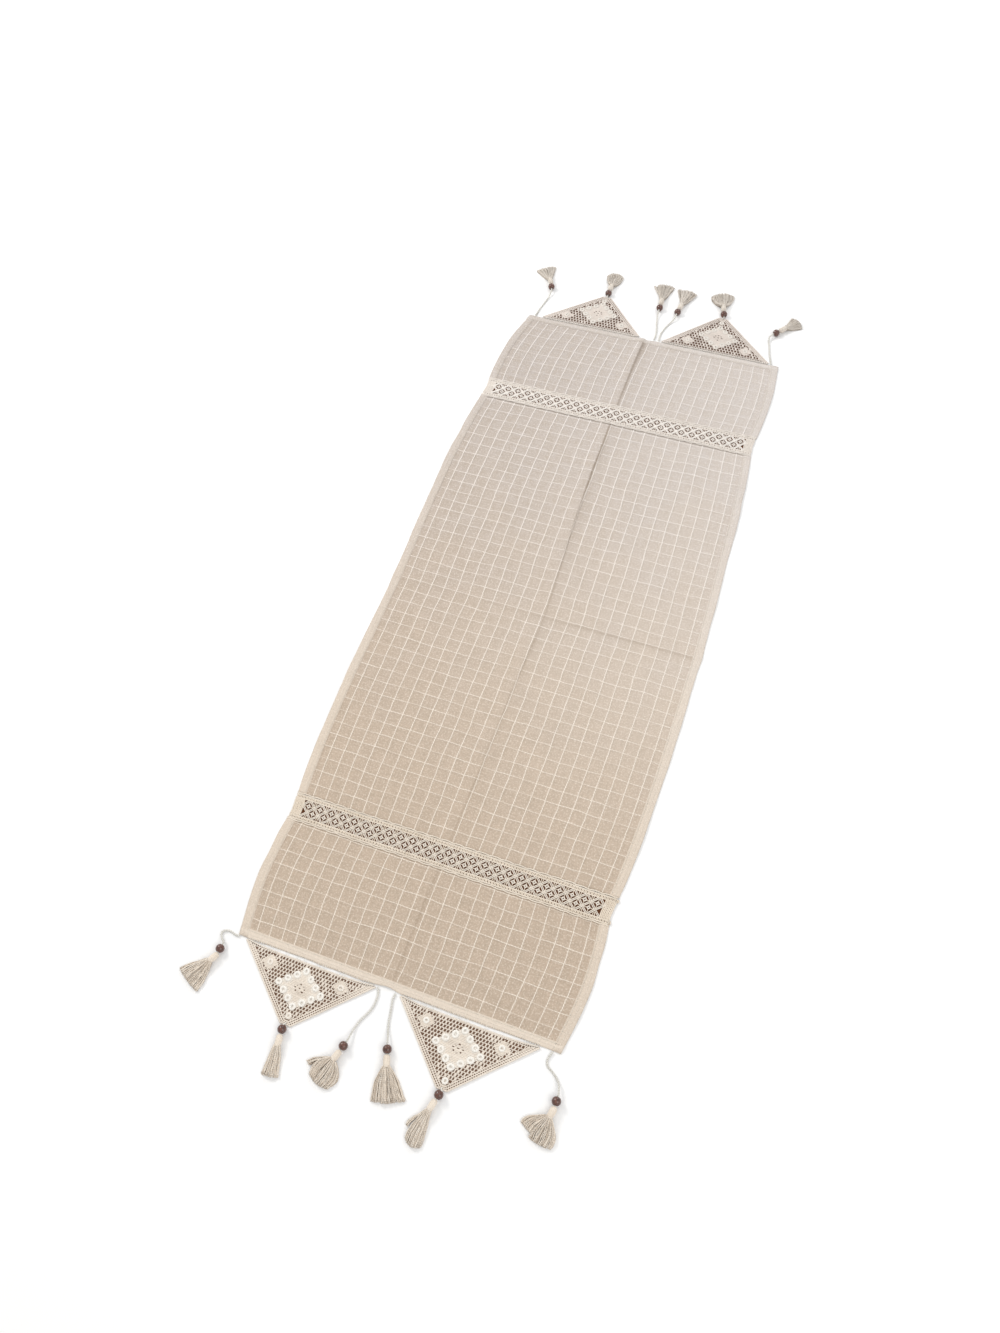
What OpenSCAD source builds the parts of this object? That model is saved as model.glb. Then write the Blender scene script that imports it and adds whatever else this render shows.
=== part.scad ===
// Table runner: a checked cotton cloth in three panels, joined by two crocheted insertion bands,
// with crocheted lace points, beads and tassels at both ends. It lies flat, its top side up.
// Origin: middle of the cloth, on the table. +Y runs to the back end, +X to the right, +Z up.

/* [Cloth] */
// Length of the cloth from end hem to end hem
cloth_len = 1200; // [900:10:1800]
// Width across the end hems
hem_line_w = 460; // [440:2:500]
// Width across the crocheted bands
band_line_w = 476; // [440:2:520]
// Width across the middle of the centre panel
middle_w = 504; // [460:2:560]
// How far each side of an end panel bows out past the straight line
end_bow = 8; // [0:1:12]
// How far the back band lies to the left of the centre line
back_sway = 9; // [0:1:12]
// Length of the front end panel and its hem together, along the runner
front_end_len = 173; // [120:1:220]
// Length of the back end panel and its hem together, along the runner
back_end_len = 166; // [120:1:220]
// Thickness of the woven cloth
cloth_t = 1; // [0.8:0.1:1.2]

/* [Hems and bands] */
// Width of the folded side hems
side_hem_w = 14; // [8:1:20]
// Width of the folded end hems
end_hem_w = 12; // [8:1:20]
// Thickness of a folded hem
hem_t = 1.6; // [1.2:0.1:1.6]
// Width of each crocheted band, along the runner
band_w = 42; // [36:2:60]
// Thickness of the crocheted bands
band_t = 1.6; // [1.2:0.1:1.6]
// Spacing of the diamonds along a band
band_pitch = 18; // [16:0.5:24]
// Length of the slots along the sides of each diamond
slot_len = 5.4; // [4:0.2:7]
// Width of the slots
slot_w = 2.4; // [1.6:0.2:2.8]

/* [Lace points] */
// Thickness of the lace points
lace_t = 1.4; // [1:0.1:1.6]
// Spacing of the net in the lace points
net_pitch = 7; // [6:0.5:10]
// Side of the square meshes of the net
net_mesh = 2.8; // [2:0.2:3.4]

/* [Cords, beads and tassels] */
// Diameter of the twisted cords
cord_d = 3; // [2:0.1:3.2]
// Diameter of the short loops at the lace tips
loop_d = 2.2; // [1.6:0.1:2.4]
// Diameter of the wooden beads
bead_d = 12; // [11:0.5:13]
// Length of a bead along its hole
bead_len = 10.5; // [9:0.5:11]
// Diameter of the hole through a bead
bead_hole_d = 4; // [3.8:0.1:5]
// Diameter of the bound neck of a tassel
neck_d = 8; // [6:0.5:10]
// Thickness of a tassel's skirt where it lies on the table
skirt_t = 8; // [5:0.5:10]

/* [Hidden] */
$fn = 48;

// Half the gap left at a seam that folds both ways, and the height of every fold line
seam_half = 2;
fold_z = 1.9;
// Gap at the crosswise crease, which folds one way only
crease_gap = 0.4;

half_len = cloth_len / 2;
hem_y = half_len - end_hem_w;
// Distance from the middle to the waist of the cloth, at the bands
waist_y = 414;
lace_y = half_len + 2 * seam_half;
pivot_y = half_len + seam_half;

// Distances from the middle to a band's outer edge, to the seam's near side and to the band's inner edge
function band_out_y(end_len) = half_len - end_len;
function seam_y(end_len) = band_out_y(end_len) - band_w;
function band_in_y(end_len) = seam_y(end_len) + 2 * seam_half;

// Ends of the runner: [name, sign along Y, length of the end panel with its hem]
ENDS = [["front", -1, front_end_len], ["back", 1, back_end_len]];
// Sides of the runner: [name, sign along X]
SIDES = [["left", -1], ["right", 1]];
// Stretches of the cloth between fold lines: [name, lowest y, highest y]
STRETCHES = [
    ["front_end", -hem_y, -band_out_y(front_end_len)],
    ["front_half", -seam_y(front_end_len), -crease_gap],
    ["back_half", 0, seam_y(back_end_len)],
    ["back_end", band_out_y(back_end_len), hem_y],
];
// Lace points: [name, sign along Y, middle of the base, width of the base, bead at the tip]
POINTS = [
    ["front_left", -1, -121, 190, [-119, -692]],
    ["front_right", -1, 106, 192, [102, -697]],
    ["back_left", 1, -114, 182, [-106, 687]],
    ["back_right", 1, 115, 192, [109, 692]],
];
// Tassels at the tips of the lace: [name, bead, end of the skirt, width of the skirt there]
TIP_TASSELS = [
    ["front_left_point", [-119, -692], [-111, -749], 22],
    ["front_right_point", [102, -697], [85, -761], 26],
    ["back_left_point", [-106, 687], [-107, 742], 30],
    ["back_right_point", [109, 692], [94, 744], 40],
];
// Tassels on cords: [name, bead, direction of the bead's hole, end of the skirt, its width, route]
// A route starts at the hem and lies on the table until it lifts to the bead.
CORD_TASSELS = [
    ["front_left_corner", [-244, -626], -95, [-268, -678], 40, [
        [-228, -602, 1.9], [-235, -602, 1.6], [-242, -600, 1.5], [-249, -601, 1.5],
        [-253, -605, 2.2], [-250, -611, 4.2]]],
    ["front_left_inner", [-35, -684], -104, [-52, -736], 44, [
        [-22, -602, 1.9], [-19, -609, 1.6], [-18, -618, 1.5], [-19, -628, 1.5],
        [-23, -638, 1.5], [-28, -648, 1.5], [-31, -658, 2], [-32, -667, 4]]],
    ["front_right_inner", [20, -669], -70, [42, -728], 42, [
        [3, -602, 1.9], [2, -609, 1.6], [4, -618, 1.5], [6, -627, 1.5],
        [8, -637, 1.5], [11, -646, 2.2], [14, -653, 4.4]]],
    ["front_right_corner", [242, -655], -90, [232, -707], 44, [
        [219, -602, 1.9], [217, -608, 1.6], [216, -614, 1.5], [219, -620, 1.5],
        [226, -624, 1.5], [233, -629, 1.8], [239, -636, 4]]],
    ["back_left_corner", [-213, 675], 111, [-239, 722], 36, [
        [-219, 602, 1.9], [-218, 611, 1.6], [-217, 621, 1.5], [-215, 631, 1.5],
        [-213, 641, 1.5], [-211, 650, 2], [-210, 658, 4]]],
    ["back_left_inner", [-6, 677], 94, [-10, 738], 34, [
        [5, 602, 1.9], [5, 611, 1.6], [4, 621, 1.5], [2, 631, 1.5],
        [-1, 641, 1.5], [-3, 651, 2], [-5, 660, 4.2]]],
    ["back_right_inner", [28, 675], 85, [35, 734], 34, [
        [14, 602, 1.9], [13, 611, 1.6], [13, 621, 1.5], [15, 631, 1.5],
        [18, 641, 1.5], [22, 650, 2], [26, 658, 4.2]]],
    ["back_right_corner", [208, 673], 48, [240, 712], 30, [
        [216, 602, 1.9], [213, 611, 1.6], [209, 622, 1.5], [206, 633, 1.5],
        [203, 644, 1.5], [200, 654, 2.4], [199, 661, 4.6]]],
];

// ---- Names ----

function panel_name(stretch) = str("panel_", stretch[0]);
function hem_name(side, stretch) = str("side_hem_", side[0], "_", stretch[0]);

// ---- Outline of the cloth ----

function mix(a, b, t) = a + (b - a) * t;

// Half the cloth's width at y: widest in the middle, drawn in at the bands and at the end hems
function half_w(y) =
    let (a = abs(y))
    let (t = (a - waist_y) / (half_len - waist_y))
    a < waist_y
        ? mix(middle_w, band_line_w, pow(a / waist_y, 4)) / 2
        : mix(band_line_w, hem_line_w, t) / 2 + end_bow * sin(180 * t);

// How far the cloth's centre line lies from x = 0 at y
function sway(y) =
    y <= 0 ? 0
    : y < waist_y ? -back_sway * sin(90 * y / waist_y)
    : -back_sway * cos(90 * (y - waist_y) / (half_len - waist_y));

// Points along one side, inset from the edge, from y0 to y1
function edge(y0, y1, side, inset) =
    let (n = max(2, ceil(abs(y1 - y0) / 25)))
    [for (i = [0 : n]) let (y = mix(y0, y1, i / n)) [sway(y) + side * (half_w(y) - inset), y]];

module cloth_strip(y0, y1, inset, t)
    linear_extrude(t)
        polygon(concat(edge(y0, y1, -1, inset), edge(y1, y0, 1, inset)));

// ---- Panels and hems ----

module panel(stretch)
    color([0.84, 0.78, 0.72])
        cloth_strip(stretch[1], stretch[2], side_hem_w, cloth_t);

module side_hem(side, stretch)
    color([0.92, 0.86, 0.79])
        linear_extrude(hem_t)
            polygon(concat(
                edge(stretch[1], stretch[2], side[1], 0),
                edge(stretch[2], stretch[1], side[1], side_hem_w)));

module end_hem(end)
    color([0.87, 0.81, 0.74])
        cloth_strip(end[1] * hem_y, end[1] * half_len, 0, hem_t);

// ---- Crocheted bands: two rows of diamonds, half a pitch apart, each with a slot along its four sides ----

module crochet_band(end) {
    mid_y = end[1] * (band_in_y(end[2]) + band_out_y(end[2])) / 2;
    count = floor((band_line_w - 3 * side_hem_w) / band_pitch * 2);
    slot_off = (band_pitch / sqrt(2) - 2.6 - slot_w) / 2;
    color([0.93, 0.87, 0.8])
        difference() {
            cloth_strip(end[1] * band_in_y(end[2]), end[1] * band_out_y(end[2]), 0, band_t);
            for (i = [0 : count - 1], turn = [45 : 90 : 315])
                translate([
                    sway(mid_y) + (i - (count - 1) / 2) * band_pitch / 2,
                    mid_y + (i % 2 == 0 ? 1 : -1) * band_pitch / 4,
                    band_t / 2])
                    rotate(turn)
                        translate([slot_off, 0, 0])
                            cube([slot_w, slot_len, 2 * band_t], center = true);
        }
}

// ---- Lace points: a net with a closed diamond that holds a ring of eyelets ----

tip_gap = 7;
border_w = 7;
diamond_r = 27;
eyelet_r = 1.4;
eyelets = 12;

// Distance from the lace point's middle line to its slanting edge, at a distance d from the hem
function lace_half(point, d) =
    let (tip = abs(point[4][1]) + 1 - lace_y) point[3] / 2 * (1 - d / tip);
function lace_mid(point, d) =
    let (tip = abs(point[4][1]) + 1 - lace_y) mix(point[2], point[4][0], d / tip);

module lace_point(point) {
    depth = abs(point[4][1]) - tip_gap - lace_y;
    heart = 0.36 * depth;
    heart_x = lace_mid(point, heart);
    rows = floor((depth - border_w) / (net_pitch / 2));
    color([0.89, 0.83, 0.78])
        linear_extrude(lace_t)
            difference() {
                polygon([for (c = [[0, -1], [0, 1], [depth, 1], [depth, -1]])
                    [lace_mid(point, c[0]) + c[1] * lace_half(point, c[0]),
                     point[1] * (lace_y + c[0])]]);
                for (r = [1 : rows]) {
                    d = r * net_pitch / 2 + 1;
                    reach = lace_half(point, d) - border_w;
                    n = floor(reach / net_pitch);
                    odd = r % 2 == 0 ? 0 : 0.5;
                    for (i = [-n - 1 : n]) {
                        x = lace_mid(point, d) + (i + odd) * net_pitch;
                        off_middle = abs(x - lace_mid(point, d));
                        in_diamond = abs(x - heart_x) + abs(d - heart) < diamond_r + 4;
                        if (off_middle < reach && !in_diamond)
                            translate([x, point[1] * (lace_y + d)])
                                rotate(45)
                                    square(net_mesh, center = true);
                    }
                }
                for (i = [0 : eyelets - 1]) {
                    side = floor(i / 3);
                    t = (i % 3) / 3;
                    corner = [[1, 0], [0, 1], [-1, 0], [0, -1], [1, 0]];
                    at = mix(corner[side], corner[side + 1], t) * (diamond_r - 5);
                    translate([heart_x + at[0], point[1] * (lace_y + heart + at[1])])
                        circle(eyelet_r);
                }
            }
}

// Whip stitches that draw the lace to the hem, one short thread each
stitch_pitch = 8;
stitch_d = 0.9;
stitch_len = 2.6;
stitch_slant = 20;

module seam_stitches(point) {
    count = floor((point[3] - 12) / stitch_pitch);
    color([0.95, 0.93, 0.89])
        for (i = [0 : count - 1])
            translate([point[2] + (i + 0.5 - count / 2) * stitch_pitch, point[1] * (pivot_y + 0.3), 0.9])
                rotate([90, 0, stitch_slant])
                    cylinder(d = stitch_d, h = stitch_len, center = true, $fn = 16);
}

// ---- Beads ----

bead_z = bead_d / 2;
// How far the cord reaches past the bead on the side where it comes in
lead_in = 9;

function heading(angle) = [cos(angle), sin(angle), 0];
function heading_to(a, b) = atan2(b[1] - a[1], b[0] - a[0]);
function lifted(p, z) = [p[0], p[1], z];

module bead(at, angle)
    color([0.33, 0.19, 0.13])
        translate([at[0], at[1], bead_z])
            rotate([0, 90, angle])
                difference() {
                    intersection() {
                        sphere(d = bead_d);
                        cylinder(d = bead_d + 1, h = bead_len, center = true);
                    }
                    cylinder(d = bead_hole_d, h = bead_d + 1, center = true);
                }

// ---- Cords: a tube with one ring of points at each place on the route ----

cord_sides = 8;

function unit(v) = v / norm(v);
function heading_at(route, i) =
    unit(route[min(i + 1, len(route) - 1)] - route[max(i - 1, 0)]);
function ring(route, i, r) =
    let (t = heading_at(route, i))
    let (side = unit(cross([0, 0, 1], t)))
    let (up = cross(t, side))
    [for (k = [0 : cord_sides - 1])
        let (a = 360 * (k + 0.5) / cord_sides) route[i] + r * (cos(a) * side + sin(a) * up)];

module tube(route, d) {
    n = len(route);
    rings = [for (i = [0 : n - 1]) each ring(route, i, d / 2)];
    walls = [for (i = [0 : n - 2], k = [0 : cord_sides - 1])
        let (a = i * cord_sides + k, b = i * cord_sides + (k + 1) % cord_sides)
        each [[a, a + cord_sides, b + cord_sides], [a, b + cord_sides, b]]];
    start_cap = [[for (k = [0 : cord_sides - 1]) k]];
    end_cap = [[for (k = [cord_sides - 1 : -1 : 0]) (n - 1) * cord_sides + k]];
    polyhedron(rings, concat(walls, start_cap, end_cap));
}

// The part of a route that runs through the bead
function through_bead(at, angle) =
    let (b = lifted(at, bead_z))
    [b - lead_in * heading(angle), b - bead_len / 2 * heading(angle), b + bead_len / 2 * heading(angle)];

module cord(t)
    color([0.86, 0.85, 0.82])
        tube(concat(t[5], through_bead(t[1], t[2])), cord_d);

// A short loop from the tip of the lace up into its bead
loop_start = 6.5;
loop_z = 2.6;

module loop(t) {
    angle = heading_to(t[1], t[2]);
    end = sign(t[1][1]);
    b = lifted(t[1], bead_z);
    color([0.86, 0.85, 0.82])
        tube([
            [t[1][0] - loop_start * cos(angle), t[1][1] - end * loop_start, loop_z],
            b - (bead_len / 2 + 0.8) * heading(angle) - [0, 0, 0.6],
            b - bead_len / 2 * heading(angle),
            b + bead_len / 2 * heading(angle)], loop_d);
}

// ---- Tassels: a bound neck, and a skirt of threads fanned out on the table ----

neck_len = 11;
fan_rim = 6;

module tassel(at, angle, end, width) {
    head = lifted(at, bead_z) + (bead_len / 2 + neck_d / 2 + 0.05) * heading(angle);
    fall = heading_to(head, end);
    neck = head + neck_len * heading(fall);
    reach = norm([end[0] - neck[0], end[1] - neck[1]]);
    half_fan = asin(width / 2 / reach);
    color([0.82, 0.76, 0.67]) {
        hull() {
            translate(head) sphere(d = neck_d, $fn = 20);
            translate(neck) sphere(d = neck_d - 0.6, $fn = 20);
        }
        hull() {
            translate(neck) sphere(d = neck_d - 0.6, $fn = 20);
            translate([neck[0], neck[1], 0])
                linear_extrude(skirt_t)
                    polygon([for (r = [reach, reach - fan_rim], s = [-3 : 3])
                        let (a = fall + (r == reach ? s : -s) * half_fan / 3)
                        r * [cos(a), sin(a)]]);
        }
    }
}

// ---- The pieces ----

for (s = STRETCHES)
    panel(s);
for (e = ENDS)
    crochet_band(e);
for (e = ENDS)
    end_hem(e);
for (s = STRETCHES, side = SIDES)
    side_hem(side, s);
for (p = POINTS) {
    lace_point(p);
    seam_stitches(p);
}
for (t = TIP_TASSELS) {
    angle = heading_to(t[1], t[2]);
    loop(t);
    bead(t[1], angle);
    tassel(t[1], angle, t[2], t[3]);
}
for (t = CORD_TASSELS) {
    cord(t);
    bead(t[1], t[2]);
    tassel(t[1], t[2], t[3], t[4]);
}
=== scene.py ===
"""Table runner: checked cotton cloth, crocheted bands, lace points, beads and tassels.

Lengths in the tables are in millimetres, and everything built from them is in metres.
"""

import math

import bpy
import numpy as np
from mathutils import Matrix, Vector


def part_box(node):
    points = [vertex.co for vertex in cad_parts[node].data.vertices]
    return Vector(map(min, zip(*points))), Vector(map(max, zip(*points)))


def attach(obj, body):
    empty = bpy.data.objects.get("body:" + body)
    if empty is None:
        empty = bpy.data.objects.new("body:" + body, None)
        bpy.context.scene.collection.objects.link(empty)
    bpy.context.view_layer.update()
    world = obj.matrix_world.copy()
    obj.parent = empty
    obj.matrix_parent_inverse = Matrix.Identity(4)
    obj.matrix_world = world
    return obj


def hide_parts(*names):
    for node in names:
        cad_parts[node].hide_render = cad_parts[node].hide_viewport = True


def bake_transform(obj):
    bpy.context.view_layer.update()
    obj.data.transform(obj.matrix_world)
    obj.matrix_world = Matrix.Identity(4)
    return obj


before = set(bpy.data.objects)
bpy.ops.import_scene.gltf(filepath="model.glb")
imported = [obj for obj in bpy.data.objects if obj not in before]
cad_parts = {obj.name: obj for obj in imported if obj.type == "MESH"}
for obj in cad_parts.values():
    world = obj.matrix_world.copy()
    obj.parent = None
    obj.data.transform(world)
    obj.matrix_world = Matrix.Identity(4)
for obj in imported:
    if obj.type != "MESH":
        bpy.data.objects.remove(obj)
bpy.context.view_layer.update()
MM = 0.001
TAU = 2 * math.pi
rng = np.random.default_rng(426)


def jitter():
    """A random number from -1 to 1."""
    return rng.uniform(-1, 1)



def link(thing):
    """Puts an object in the scene."""
    bpy.context.scene.collection.objects.link(thing)
    return thing


# ---- the camera, first of all

CAMERA_AT = (0.3093, -0.7630, 1.3868)
CAMERA_AXES = ((0.9376, 0.3407, -0.0693), (-0.2714, 0.8417, 0.4667), (0.2174, -0.4188, 0.8817))
camera = link(bpy.data.objects.new("camera", bpy.data.cameras.new("camera")))
camera.data.sensor_width = 36.0
camera.data.lens = 28.02
turn = Matrix(CAMERA_AXES).transposed().to_4x4()
camera.matrix_world = Matrix.Translation(CAMERA_AT) @ turn
bpy.context.scene.camera = camera

# ---- the cloth's outline, as the CAD has it

HALF_LEN = 600.0
WAIST_Y = 414.0
HEM = 14.0
END_HEM = 12.0
SEAM = {"front": 385.0, "back": 392.0}  # where the centre panel ends
BAND_OUT = {"front": 427.0, "back": 434.0}  # where the end panels start
SIGN = {"front": -1, "back": 1}
CHECK = 20.5  # pitch of the check lines
MIDDLE_W, WAIST_W, END_W = 504.0, 476.0, 460.0  # the cloth's width in the middle, at the bands, at the ends
BULGE = 8.0  # how far the end panels' sides bulge out
DRIFT = 9.0  # how far the back half bends to the left
FLAT_HALF = WAIST_W / 2  # half the width of the flat cloth, for the weave
CLOTH_THICK = 0.75
HEM_THICK = 0.35  # the least thickness of a hem, at its edges
END_FOLD = 412.0  # about where an end folds over a table's edge


def half_w(y):
    """Half the cloth's width at y, in mm."""
    a = np.abs(y)
    t = np.clip((a - WAIST_Y) / (HALF_LEN - WAIST_Y), 0, 1)
    inner = (MIDDLE_W + (WAIST_W - MIDDLE_W) * (a / WAIST_Y) ** 4) / 2
    outer = (WAIST_W + (END_W - WAIST_W) * t) / 2 + BULGE * np.sin(math.pi * t)
    return np.where(a < WAIST_Y, inner, outer)


def sway(y):
    """How far the cloth's centre line lies from x = 0 at y, in mm."""
    y = np.asarray(y, float)
    near = -DRIFT * np.sin(TAU / 4 * np.clip(y / WAIST_Y, 0, 1))
    far = -DRIFT * np.cos(TAU / 4 * (y - WAIST_Y) / (HALF_LEN - WAIST_Y))
    return np.where(y <= 0, 0, np.where(y < WAIST_Y, near, far))


def bell(x, width):
    """A smooth hump, 1 at x = 0."""
    return np.exp(-((x / width) ** 2))


def ease(t):
    """A smooth step for t from 0 to 1."""
    return t * t * (3 - 2 * t)


def noise(x, y, cell, seed):
    """Smooth value noise from -1 to 1 over cells of that size."""
    table = np.random.default_rng(seed).uniform(-1, 1, (64, 64))
    gx, gy = np.asarray(x, float) / cell, np.asarray(y, float) / cell
    ix, iy = np.floor(gx).astype(int), np.floor(gy).astype(int)
    fx, fy = ease(gx - ix), ease(gy - iy)

    def row(b):
        at = (iy + b) % 64
        return table[ix % 64, at] * (1 - fx) + table[(ix + 1) % 64, at] * fx

    return row(0) * (1 - fy) + row(1) * fy


# the lengthwise crease along y: its place in x, its height, how dark its painted shade is and how wide that
# shade is
CREASE_Y = [-600, -400, -200, 0, 150, 410, 600]
CREASE_X = [-9, -7, -3, 1, -7, -15, -12]
RIDGE_Y = [-600, -430, -390, -200, -60, 0, 60, 150, 300, 350, 385, 434, 470, 530, 600]
RIDGE = [2.0, 1.5, 0.9, 1.8, 1.4, 0.3, 1.4, 2.8, 3.6, 2.0, 0.8, 0.8, 1.7, 3.2, 4.0]
LINE_Y = [-600, -100, 90, 150, 200, 410, 425, 450, 600]
LINE_DARK = [0.18, 0.34, 0.42, 0.75, 0.92, 0.78, 0.50, 0.72, 0.72]
LINE_WIDE = [3.0, 3.0, 2.0, 1.1, 1.3, 3.6, 2.0, 2.2, 6.5]


def crease(x, y):
    """Distance to the lengthwise crease and its height there, in mm."""
    at = np.interp(y, CREASE_Y, CREASE_X) + 1.2 * noise(x * 0, y, 70, 5)
    return x - at, np.interp(y, RIDGE_Y, RIDGE)


def lift(x, y):
    """Height of the cloth's underside above the floor, in mm: soft waves and the two creases."""
    a = np.abs(y)
    from_fold = np.minimum(np.minimum(a, np.abs(a - END_FOLD)) / 130, (HALF_LEN + 20 - a) / 110)
    calm = np.clip(from_fold, 0.15, 1)
    waves = noise(x, y, 95, 1) + 0.55 * noise(x, y, 42, 2) + 0.25 * noise(x, y, 20, 3)
    near_seam = bell(a - 368, 18) + bell(a - 452, 18)
    puckers = 0.45 * near_seam * noise(x, y * 0, 13, 4)
    dx, height = crease(x, y)
    steep = 0.65 * bell(dx, 2.6) + 0.35 * bell(dx, 11)
    ridge = height * np.where(dx < 0, bell(dx, 13), steep)
    across = 0.6 * bell(y, 4)
    return np.maximum(0.45 + calm * (1.0 + waves) + puckers, 0.15) + ridge + across


def crease_shade(x, y):
    """How dark the painted shade lies along the creases, from 0 to 1."""
    past = crease(x, y)[0] - 1.4
    dark = np.interp(y, LINE_Y, LINE_DARK)
    wide = np.interp(y, LINE_Y, LINE_WIDE) * (1 + 0.35 * noise(x * 0, y, 24, 6))
    core = bell(past, np.where(past < 0, 1.2, wide))
    steep = dark * (0.8 * core + 0.3 * np.exp(-past / 9) * (past > 0))
    # painted shade along the crosswise crease too, stronger towards the right
    across = 0.35 * bell(y + 3, 2.5) * np.clip((x + 60) / 120, 0.2, 1)
    return np.clip(steep + across, 0, 1)


def place(x, y):
    """Moves points of the flat cloth a little in its plane, as loose weave does."""
    w = np.clip(1 - (np.abs(x - sway(y)) / np.maximum(half_w(y) - HEM, 1)) ** 6, 0, 1)
    dx = w * (noise(x, y, 55, 11) + 0.5 * noise(x, y, 21, 12))
    free = np.ones_like(y, float)
    for edge in (-588, -427, -385, 392, 434, 588):
        free = free * np.clip(np.abs(y - edge) / 12, 0, 1)
    free = free * np.clip(np.abs(y) / 20, 0.3, 1)
    dy = free * (1.5 * noise(x, y, 48, 13) + 0.6 * noise(x, y, 19, 14))
    return x + dx, y + dy


# ---- mesh building


def xyz(*parts):
    """Points from their coordinates."""
    return np.stack(parts, -1)


def unit(v):
    """The same vectors with length 1."""
    return v / np.maximum(np.linalg.norm(v, axis=1), 1e-9)[:, None]


def distance(p):
    """How far along the line p each of its points is."""
    return np.concatenate([[0], np.cumsum(np.linalg.norm(np.diff(p, axis=0), axis=1))])


class Build:
    """Collects parts of one mesh, each with UVs and values per point."""

    def __init__(self, *names):
        self.names = names or ("deep", "white")
        self.v, self.f, self.uv, self.a = [], [], [], []
        self.n = 0

    def add(self, verts, faces, uvs, **values):
        verts = np.asarray(verts, float)
        self.v.append(verts)
        for f, u in zip(faces, uvs):
            self.f.append(np.asarray(f) + self.n)
            self.uv.append(np.asarray(u, float))
        self.a.append({n: np.broadcast_to(values.get(n, 0.0), len(verts)) for n in self.names})
        self.n += len(verts)

    def tube(self, points, radius, sides=5, closed=False, flat=1.0, ref=(0, 0, 1), low=0.4, **values):
        """A tube along points (mm). flat squeezes it in height; low is how dark the painted shade on its
        underside is.
        """
        p = np.asarray(points, float)
        n = len(p)
        tangent = unit(np.roll(p, -1, 0) - np.roll(p, 1, 0) if closed else np.gradient(p, axis=0))
        side = unit(np.cross(ref, tangent))
        top = np.cross(tangent, side)
        r = np.broadcast_to(radius, n)
        angles = TAU * (np.arange(sides) + 0.5) / sides
        round_it = np.cos(angles)[:, None] * side[:, None] + flat * np.sin(angles)[:, None] * top[:, None]
        ring = p[:, None] + r[:, None, None] * round_it
        along = distance(p) * MM
        last = along[-1] + (np.linalg.norm(p[0] - p[-1]) * MM if closed else 0)
        i = np.arange(n if closed else n - 1)
        k = np.arange(sides)
        kn = (k + 1) % sides
        here, there = i[:, None] * sides, (i[:, None] + 1) % n * sides
        quads = np.stack([here + k, here + kn, there + kn, there + k], -1).reshape(-1, 4)
        u0, u1 = along[i], np.append(along[1:], last)[: len(i)]
        v0, v1 = k / sides, (k + 1) / sides
        uv = np.empty((len(i), sides, 4, 2))
        uv[..., 0] = np.stack([u0, u0, u1, u1], -1)[:, None]
        uv[..., 1] = np.stack([v0, v1, v1, v0], -1)
        faces, uvs = [quads], [uv.reshape(-1, 4, 2)]
        if not closed:
            caps = np.array([np.arange(sides)[::-1], (n - 1) * sides + np.arange(sides)])
            faces.append(caps)
            uvs.append(np.zeros((2, sides, 2)))
        # painted shade on the tube's underside, as strong as low
        normal_z = (ring - p[:, None])[..., 2] / np.maximum(r[:, None] * flat, 1e-9)
        values.setdefault("deep", low * np.clip(0.35 - 0.65 * normal_z, 0, 1).ravel())
        self.add(ring.reshape(-1, 3), faces, uvs, **values)

    def shell(self, top, bottom, uv, **values):
        """A closed sheet between two grids of points (mm) of the same shape."""
        rows, cols = top.shape[:2]
        n = rows * cols
        i, j = np.meshgrid(np.arange(rows - 1), np.arange(cols - 1), indexing="ij")
        a = (i * cols + j).ravel()
        up_quads = np.stack([a, a + 1, a + cols + 1, a + cols], 1)
        down_quads = up_quads[:, ::-1] + n
        across, down = np.arange(cols - 1), np.arange(rows - 1)
        edge = np.concatenate([across, (down + 1) * cols - 1, n - 1 - across, (rows - 1 - down) * cols])
        nxt = np.roll(edge, -1)
        rim = np.stack([nxt, edge, edge + n, nxt + n], 1)
        both = np.tile(uv.reshape(-1, 2), (2, 1))
        faces = [up_quads, down_quads, rim]
        doubled = {k: np.tile(np.ravel(v), 2) for k, v in values.items()}
        verts = np.concatenate([top.reshape(-1, 3), bottom.reshape(-1, 3)])
        self.add(verts, faces, [both[f] for f in faces], **doubled)

    def make(self, name, material):
        """The mesh as a piece in the scene."""
        verts = np.concatenate(self.v) * MM
        mesh = bpy.data.meshes.new(name)
        mesh.vertices.add(len(verts))
        mesh.vertices.foreach_set("co", verts.astype(np.float32).ravel())
        loops = np.concatenate([f.ravel() for f in self.f]).astype(np.int32)
        totals = np.concatenate([np.full(len(f), f.shape[1]) for f in self.f]).astype(np.int32)
        starts = np.concatenate([[0], np.cumsum(totals)[:-1]]).astype(np.int32)
        mesh.loops.add(len(loops))
        mesh.loops.foreach_set("vertex_index", loops)
        mesh.polygons.add(len(totals))
        mesh.polygons.foreach_set("loop_start", starts)
        mesh.polygons.foreach_set("loop_total", totals)
        mesh.update(calc_edges=True)
        layer = mesh.uv_layers.new(name="thread")
        uv = np.concatenate([u.reshape(-1, 2) for u in self.uv]).astype(np.float32)
        layer.data.foreach_set("uv", uv.ravel())
        for n in self.names:
            values = np.concatenate([a[n] for a in self.a]).astype(np.float32)
            mesh.attributes.new(n, "FLOAT", "POINT").data.foreach_set("value", values)
        mesh.polygons.foreach_set("use_smooth", np.ones(len(totals), bool))
        mesh.validate()
        mesh.materials.append(material)
        return link(bpy.data.objects.new(name, mesh))


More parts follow.
